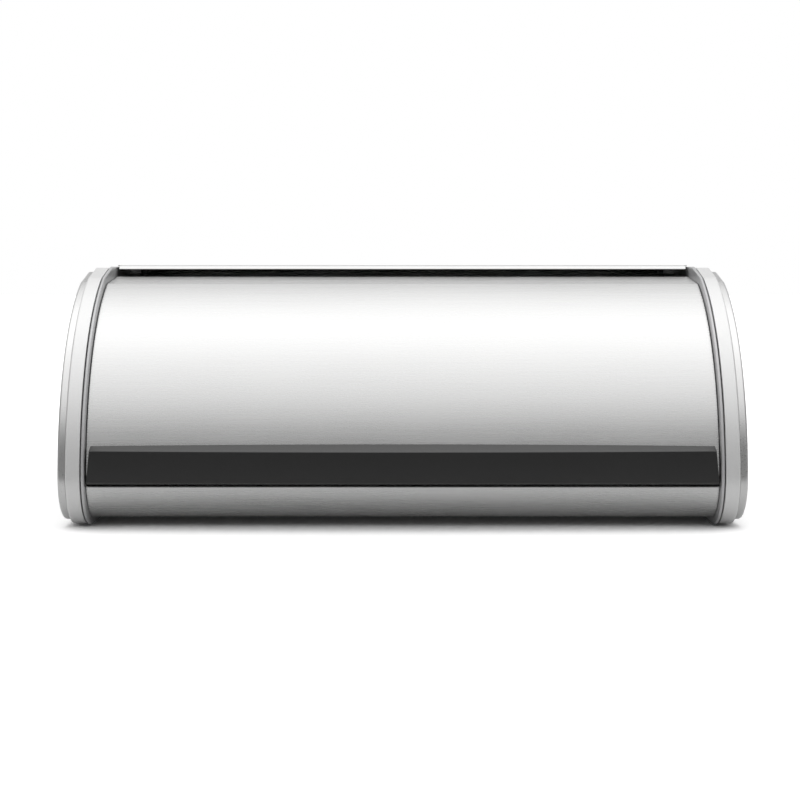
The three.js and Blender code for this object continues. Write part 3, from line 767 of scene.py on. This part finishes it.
def handle_grip():
    radius = (LID_END**2 + GRIP_BOW**2) / (2 * GRIP_BOW)
    rounding = []
    for elevation in (90, 60, 30, 0):
        a = math.radians(elevation)
        rounding.append((GRIP_END_ROUND * (1 - math.sin(a)), GRIP_END_ROUND * (1 - math.cos(a))))
    # share of the half-width, distance back from the end, and how far the section is drawn in
    plan = [(-1, back, draw) for back, draw in rounding]
    plan += [(i / GRIP_STATIONS, 0, 0) for i in range(1 - GRIP_STATIONS, GRIP_STATIONS)]
    plan += [(1, back, draw) for back, draw in reversed(rounding)]
    rows = []
    bm = bmesh.new()
    for share, back, draw in plan:
        bow = radius - math.sqrt(radius**2 - (share * LID_END) ** 2)
        section = grip_section(bow, GRIP_CROWN * share**2)
        if draw:
            section = shrunk(section, draw)
        rows.append([vert(bm, share * (grip_end(z) - back), y, z) for y, z in section])
    for one, two in zip(rows, rows[1:]):
        bridge(bm, one, two)
    bm.faces.new(rows[0])
    bm.faces.new(rows[-1])
    return new_object("handle_grip_fine", bm, BLACK, "lid", ["handle_grip"])


def edge_rail():
    outside = SHEET_INSET - GAP
    inside = SHEET_INSET + SHEET + GAP
    pocket = RAIL_FLOOR + RAIL_WALL
    outline = front_curve(outside - RAIL_WALL, RAIL_FLOOR, RAIL_TOP, step=3)
    outline += front_curve(outside, pocket, RAIL_TOP, step=3)[::-1]
    outline += front_curve(inside, pocket, RAIL_TOP, step=3)
    outline += front_curve(inside + RAIL_WALL, RAIL_FLOOR, RAIL_TOP, step=3)[::-1]
    bm = bmesh.new()
    prism(bm, outline, -LID_END, LID_END)
    name = "lid_edge_rail_fine"
    return new_object(name, bm, BLACK, "lid", ["lid_edge_rail"], bevel=RAIL_EDGE)


def lid_side(side, mirror):
    seat = SHEET_INSET + SHEET + GAP
    top = CREASE - SIDE_BELOW_CREASE
    rise = math.sin(math.radians(top))
    radius = BAND_RADIUS - seat
    bottom = RAIL_TOP + SIDE_ABOVE_RAIL
    outer = front_curve(seat, bottom, radius * rise)
    inner = front_curve(seat + SIDE_RIM_DEPTH, bottom, (radius - SIDE_RIM_DEPTH) * rise)
    start = math.degrees(math.atan2(outer[0][1], -outer[0][0]))
    hub = arc(HUB_RADIUS, top + 90, start + 270, step=8)
    bore = arc(BORE_RADIUS, 0, 360, step=7.5)[:-1]
    rim_x = SIDE_HI.x - SIDE_SHEET
    bm = bmesh.new()
    holed_prism(bm, outer + hub, bore, mirror * rim_x, mirror * SIDE_HI.x)
    prism(bm, outer + inner[::-1], mirror * (rim_x + SIDE_RIM_LAP), mirror * SIDE_LO.x)
    name = f"{side}_lid_side_fine"
    replaced = [f"{side}_lid_side"]
    return new_object(name, bm, MOULDING, "lid", replaced, bevel=SIDE_EDGE)


# ---------------------------------------------------------------- hardware


SCREW_HEAD = {"radius": 2.8, "height": 1.2, "break": 0.1, "skirt": 0.12}
SCREW_CROWN = {"spread": 0.9, "rise": 0.55}  # spread is a share of the head's radius
SCREW_RADIUS = 1.4
GRIP_SCREW_LENGTH = SHEET + 2 * GAP + 4
RECESS = {"half_width": 0.26, "half_length": 1.55, "depth": 0.75, "taper": 0.55}
screw_meshes = {}


def screw_profile(length):
    head, height = SCREW_HEAD["radius"], SCREW_HEAD["height"]
    profile = []
    for elevation in range(0, 91, 15):
        a = math.radians(elevation)
        rise = SCREW_CROWN["rise"] * (1 - math.cos(a))
        profile.append((head * SCREW_CROWN["spread"] * math.sin(a), -height + rise))
    profile += [(head, -height / 3), (head, -SCREW_HEAD["skirt"]), (head - SCREW_HEAD["break"], 0)]
    profile += [(SCREW_RADIUS, 0), (SCREW_RADIUS, length - SCREW_RADIUS), (0, length)]
    return profile


def recess_cutter(bm):
    """Two crossed wedges that taper towards the bottom of the cross recess."""
    across_x, across_y = Vector((1, 0, 0)), Vector((0, 1, 0))
    height = SCREW_HEAD["height"]
    for u, v in ((across_x, across_y), (across_y, across_x)):
        corners = []
        for depth, wide in ((-height - 1, 1), (-height + RECESS["depth"], RECESS["taper"])):
            for long in (-1, 1):
                for across in (-1, 1):
                    p = u * long * RECESS["half_length"] * wide
                    p = p + v * across * RECESS["half_width"] + Vector((0, 0, depth))
                    corners.append(bm.verts.new(p * MM))
        bmesh.ops.convex_hull(bm, input=corners)


def working_object(bm):
    """An object for a boolean cut, to be removed once the cut is made."""
    bmesh.ops.recalc_face_normals(bm, faces=bm.faces)
    mesh = bpy.data.meshes.new("turned")
    bm.to_mesh(mesh)
    bm.free()
    obj = bpy.data.objects.new("turned", mesh)
    bpy.context.scene.collection.objects.link(obj)
    return obj


def screw_mesh(length):
    """A pan-head screw with a cross recess, head below its seat and shank up along +Z, in metres."""
    bm = bmesh.new()
    lathe(bm, screw_profile(length), (0, 0, 0), (0, 0, 1), sides=32)
    for v in bm.verts:
        v.co -= HINGE
    screw = working_object(bm)
    bm = bmesh.new()
    recess_cutter(bm)
    cutter = working_object(bm)
    recess = screw.modifiers.new("recess", "BOOLEAN")
    recess.object = cutter
    recess.solver = "EXACT"
    recess.use_self = True
    graph = bpy.context.evaluated_depsgraph_get()
    mesh = bpy.data.meshes.new_from_object(screw.evaluated_get(graph))
    for obj in (screw, cutter):
        bpy.data.objects.remove(obj)
    return mesh


def pan_screw(node, axis, length, seat, body):
    """A pan-head screw. axis points from the head's seat along the shank; seat is its place in mm."""
    if length not in screw_meshes:
        screw_meshes[length] = screw_mesh(length)
    turn = Vector((0, 0, 1)).rotation_difference(Vector(axis)).to_matrix().to_4x4()
    bm = bmesh.new()
    bm.from_mesh(screw_meshes[length])
    bm.transform(turn)
    for v in bm.verts:
        v.co += Vector(seat) * MM + HINGE
    return new_object(f"{node}_fine", bm, ZINC, body, [node])


def straight_screw(node, axis, body):
    """A screw along one of the frame's axes, its place and length from the node's box."""
    low, high = cad_box(node)
    way = Vector(axis)
    length = round(abs((high - low).dot(way)), 3) - SCREW_HEAD["height"]
    seat = cad_middle(node) - way * ((length - SCREW_HEAD["height"]) / 2)
    return pan_screw(node, axis, length, seat, body)


def turned_piece(node, profile, origin, axis, material, body, sides=64):
    bm = bmesh.new()
    lathe(bm, profile, origin, axis, sides)
    return new_object(f"{node}_fine", bm, material, body, [node])


PIN = {"radius": 4, "head_radius": 7, "head": 2, "edge": 0.3}
PIN_BORE = PIN["radius"] + GAP
SPACER_RADIUS = 7
CLIP_RADIUS = 6.5
BUSH = {"radius": 6.0, "flange_radius": 7.2, "flange": 1.2}
RING_EDGE = 0.2


def pin_profile(low, high):
    radius, head, edge = PIN["radius"], PIN["head_radius"], PIN["edge"]
    under = high - PIN["head"]
    return [
        (0, low), (radius - edge, low), (radius, low + edge), (radius, under),
        (head - edge, under), (head, under + edge), (head, high - edge), (head - edge, high), (0, high),
    ]


def ring_profile(outer, low, high):
    """A plain ring round the pin, its four edges broken."""
    inner, edge = PIN_BORE, RING_EDGE
    return [
        (inner, low + edge), (inner + edge, low), (outer - edge, low), (outer, low + edge),
        (outer, high - edge), (outer - edge, high), (inner + edge, high), (inner, high - edge),
        (inner, low + edge),
    ]


def bush_profile(low, high):
    inner, outer, flange, edge = PIN_BORE, BUSH["radius"], BUSH["flange_radius"], RING_EDGE
    step = low + BUSH["flange"]
    return [
        (inner, low + edge), (inner + edge, low), (flange - edge, low), (flange, low + edge),
        (flange, step), (outer, step), (outer, high), (inner, high), (inner, low + edge),
    ]


def hinge_pieces(side, mirror):
    """Pin, spacer, clip and bush. All are drawn on the right and turned about X, or -X on the left."""

    def on_axis(node, profile, material, body):
        turned_piece(f"{side}_{node}", profile, (0, 0, 0), (mirror, 0, 0), material, body)

    def ends(node):
        low, high = cad_box(f"right_{node}")
        return low.x, high.x

    pin = pin_profile(*ends("hinge_pin"))
    on_axis("hinge_pin", pin, ZINC, "housing")
    spacer = ring_profile(SPACER_RADIUS, *ends("hinge_spacer"))
    on_axis("hinge_spacer", spacer, ACETAL, "housing")
    clip = ring_profile(CLIP_RADIUS, *ends("hinge_clip"))
    on_axis("hinge_clip", clip, ZINC, "housing")
    bush = bush_profile(*ends("hinge_bush"))
    on_axis("hinge_bush", bush, ACETAL, "lid")


def grip_seat(z):
    """Where a grip screw's head sits against the inside of the lid, at a height."""
    return Vector((front_y(SHEET_INSET + SHEET + GAP, z), z))


def grip_screw(number):
    """Stands square to the lid at the middle of the grip, head inside."""
    node = f"grip_screw_{number}"
    seat = grip_seat((GRIP_LO.z + GRIP_HI.z) / 2)
    on_fillet = seat.y < seat.length * math.sin(math.radians(FILLET_END))
    centre = Vector(FILLET_CENTRE) if on_fillet else Vector((0, 0))
    out = (seat - centre).normalized()
    place = (cad_middle(node).x, seat.x, seat.y)
    return pan_screw(node, (0, out.x, out.y), GRIP_SCREW_LENGTH, place, "lid")


RIVET_SHANK = 1.5
RIVET_DOME = [(0, 0), (1.6, 0.06), (2.5, 0.25), (2.9, 0.5), (3.0, 0.8)]


def seam_rivet(place):
    """A shank between two domed heads, one under the floor and one on top of the seam."""
    node = f"seam_rivet_{place}"
    low, high = cad_box(node)
    middle = cad_middle(node)
    height = high.z - low.z
    head = RIVET_DOME[-1][1]
    profile = RIVET_DOME + [(RIVET_SHANK, head), (RIVET_SHANK, height - head)]
    profile += [(r, height - h) for r, h in reversed(RIVET_DOME)]
    origin = (middle.x, middle.y, low.z)
    turned_piece(node, profile, origin, (0, 0, 1), ZINC, "housing", 40)


BUMPER = {"head": 4, "stem": 2.4, "barb": 3.4, "edge": 0.5, "edge_share": 0.6}  # share of a thin head
CLOSED_BUMPER_HEAD = 0.6
OPEN_BUMPER_HEAD = 5.6


def bumper(node, axis, height, grip):
    """A push-in bumper. axis points from its head's face to its barb, grip is what it holds."""
    low, high = cad_box(node)
    way = Vector(axis)
    length = sum(abs((high - low)[i] * way[i]) for i in range(3))
    start = cad_middle(node) - way * (length / 2)
    head, stem, barb = BUMPER["head"], BUMPER["stem"], BUMPER["barb"]
    edge = min(BUMPER["edge"], height * BUMPER["edge_share"])
    profile = [(0, 0), (head - edge, 0)]
    for elevation in (30, 60, 90):
        a = math.radians(elevation)
        profile.append((head - edge + edge * math.sin(a), edge * (1 - math.cos(a))))
    profile += [(head, height), (stem, height), (stem, height + grip)]
    profile += [(barb, height + grip), (stem, length), (0, length)]
    turned_piece(node, profile, start, axis, RUBBER, "housing", 40)


for side_name, sign in SIDES.items():
    side_plate(side_name, sign)
    end_band(side_name, sign)
    inner_panel(side_name, sign)
    lid_side(side_name, sign)
    hinge_pieces(side_name, sign)
    for place_name in ("front", "rear"):
        rubber_foot(side_name, place_name)
    for number in range(1, 5):
        straight_screw(f"{side_name}_panel_screw_{number}", (sign, 0, 0), "housing")
    for number in range(1, 3):
        straight_screw(f"{side_name}_floor_screw_{number}", (0, 0, 1), "housing")
        straight_screw(f"{side_name}_rear_screw_{number}", (0, -1, 0), "housing")
    bumper(f"{side_name}_closed_bumper", (0, 0, -1), CLOSED_BUMPER_HEAD, SHEET + 2 * GAP)
    bumper(f"{side_name}_open_bumper", (sign, 0, 0), OPEN_BUMPER_HEAD, RIM_WIDTH + 2 * GAP)
for place_name in ("left", "middle", "right"):
    seam_rivet(place_name)
base_tray()
rear_shell()
lid_sheet()
edge_rail()
handle_grip()
for number in range(1, 5):
    grip_screw(number)

# ---------------------------------------------------------------- stage, light and camera


def ramp_of(nodes, links, source, stops):
    """Piecewise-linear value of source, from (position, value) stops. Values may pass 1."""
    ramp = nodes.new("ShaderNodeValToRGB")
    ramp.color_ramp.interpolation = "LINEAR"
    elements = ramp.color_ramp.elements
    while len(elements) > 1:
        elements.remove(elements[-1])
    top = max(value for position, value in stops)
    for i, (position, value) in enumerate(stops):
        element = elements[0] if i == 0 else elements.new(position)
        element.position = position
        element.color = (value / top,) * 3 + (1,)
    gain = math_node(nodes, "MULTIPLY")
    gain.inputs[1].default_value = top
    links.new(source, ramp.inputs["Fac"])
    links.new(ramp.outputs["Color"], gain.inputs[0])
    return gain.outputs[0]


def mixed_value(nodes, links, factor, first, second):
    """A number between first, an output, and second, an output or a plain number."""
    mix = nodes.new("ShaderNodeMix")
    mix.data_type = "FLOAT"
    links.new(factor, mix.inputs["Factor"])
    links.new(first, mix.inputs["A"])
    if isinstance(second, float):
        mix.inputs["B"].default_value = second
    else:
        links.new(second, mix.inputs["B"])
    return mix.outputs["Result"]


# brightness over the box from the back horizon (0), overhead (0.5), to the front horizon (1)
BACK_TO_FRONT = [
    (0.0, 1.0),
    (0.07, 0.98),
    (0.13, 0.80),
    (0.175, 0.44),
    (0.225, 0.48),
    (0.262, 1.15),
    (0.36, 1.42),
    (0.44, 1.85),
    (0.52, 1.9),
    (0.58, 1.60),
    (0.66, 1.37),
    (0.76, 1.22),
    (0.79, 1.08),
    (0.83, 0.62),
    (0.87, 0.30),
    (0.92, 0.20),
    (0.97, 0.32),
    (1.0, 0.5),
]
# brightness beside the box by height, and how far towards its ends that takes over
SIDE_BY_HEIGHT = [(0.0, 0.28), (0.35, 0.42), (0.7, 1.1), (1.0, 2.0)]
SIDE_WEIGHT = [(0.0, 0.0), (0.5, 0.0), (0.85, 1.0), (1.0, 1.0)]
BACKGROUND_SEEN = 1.0


def studio_world():
    world = bpy.data.worlds.new("studio")
    bpy.context.scene.world = world
    world.use_nodes = True
    nodes, links = world.node_tree.nodes, world.node_tree.links
    where = nodes.new("ShaderNodeTexCoord")
    split = nodes.new("ShaderNodeSeparateXYZ")
    links.new(where.outputs["Generated"], split.inputs[0])
    turn = math_node(nodes, "ARCTAN2")
    links.new(split.outputs["Z"], turn.inputs[0])
    links.new(split.outputs["Y"], turn.inputs[1])
    share = math_node(nodes, "DIVIDE")
    share.use_clamp = True
    share.inputs[1].default_value = math.pi
    links.new(turn.outputs[0], share.inputs[0])
    sideways = math_node(nodes, "ABSOLUTE")
    links.new(split.outputs["X"], sideways.inputs[0])
    around = ramp_of(nodes, links, share.outputs[0], BACK_TO_FRONT)
    beside = ramp_of(nodes, links, split.outputs["Z"], SIDE_BY_HEIGHT)
    weight = ramp_of(nodes, links, sideways.outputs[0], SIDE_WEIGHT)
    light = mixed_value(nodes, links, weight, around, beside)
    path = nodes.new("ShaderNodeLightPath")
    shown = mixed_value(nodes, links, path.outputs["Is Camera Ray"], light, BACKGROUND_SEEN)
    links.new(shown, nodes["Background"].inputs["Color"])


FLOOR_REACH = 9.0
FLOOR_SEEN = 1.2
# how the floor shows in the metal, as painted reflection: its colour for all but camera rays is painted
# paler beside the box than far in front of it
FLOOR_PAINTED_REFLECTION = (0.13, 0.66)
FLOOR_FADE = (-0.40, -0.20)
# painted glow: the floor glows faintly in reflections only
FLOOR_PAINTED_GLOW = 0.012


def floor_material():
    material, nodes, links, principled = shader("floor_white")
    nodes.remove(principled)
    seen = nodes.new("ShaderNodeBsdfDiffuse")
    seen.inputs["Color"].default_value = (FLOOR_SEEN, FLOOR_SEEN, FLOOR_SEEN, 1)
    where = nodes.new("ShaderNodeTexCoord")
    split = nodes.new("ShaderNodeSeparateXYZ")
    links.new(where.outputs["Object"], split.inputs[0])
    # painted reflection: the floor's colour for all but camera rays, paler beside the box than far in
    # front of it
    fade = ranged(nodes, links, split.outputs["Y"], *FLOOR_PAINTED_REFLECTION, span=FLOOR_FADE)
    lit = nodes.new("ShaderNodeBsdfDiffuse")
    links.new(fade, lit.inputs["Color"])
    path = nodes.new("ShaderNodeLightPath")
    # painted glow, seen only by glossy rays
    shine = math_node(nodes, "MULTIPLY")
    shine.inputs[1].default_value = FLOOR_PAINTED_GLOW
    links.new(path.outputs["Is Glossy Ray"], shine.inputs[0])
    painted_glow = nodes.new("ShaderNodeEmission")
    links.new(shine.outputs[0], painted_glow.inputs["Strength"])
    painted_reflection = nodes.new("ShaderNodeAddShader")
    links.new(lit.outputs[0], painted_reflection.inputs[0])
    links.new(painted_glow.outputs[0], painted_reflection.inputs[1])
    # the camera sees the plain white floor; all other rays see the painted reflection
    mix = nodes.new("ShaderNodeMixShader")
    links.new(path.outputs["Is Camera Ray"], mix.inputs[0])
    links.new(painted_reflection.outputs[0], mix.inputs[1])
    links.new(seen.outputs[0], mix.inputs[2])
    links.new(mix.outputs[0], nodes["Material Output"].inputs["Surface"])
    return material


def stage_floor():
    bm = bmesh.new()
    reach = FLOOR_REACH
    corners = ((-reach, -reach), (reach, -reach), (reach, reach), (-reach, reach))
    bm.faces.new([bm.verts.new((x, y, 0)) for x, y in corners])
    mesh = bpy.data.meshes.new("studio_floor")
    bm.to_mesh(mesh)
    bm.free()
    floor = bpy.data.objects.new("studio_floor", mesh)
    bpy.context.scene.collection.objects.link(floor)
    mesh.materials.append(floor_material())


CAMERA_PLACE = (-1.75, -1269.2, 170.5)
CAMERA_PITCH = 0.075
CAMERA_LENS = 80.3


def studio_camera():
    data = bpy.data.cameras.new("camera")
    data.lens = CAMERA_LENS
    data.sensor_width = 36
    data.clip_start = 0.05
    data.clip_end = 100
    camera = bpy.data.objects.new("camera", data)
    camera.location = [v * MM for v in CAMERA_PLACE]
    camera.rotation_euler = (math.pi / 2 - CAMERA_PITCH, 0, 0)
    bpy.context.scene.collection.objects.link(camera)
    bpy.context.scene.camera = camera


studio_world()
stage_floor()
studio_camera()
bpy.context.scene.view_settings.view_transform = "Standard"
bpy.context.scene.view_settings.look = "None"
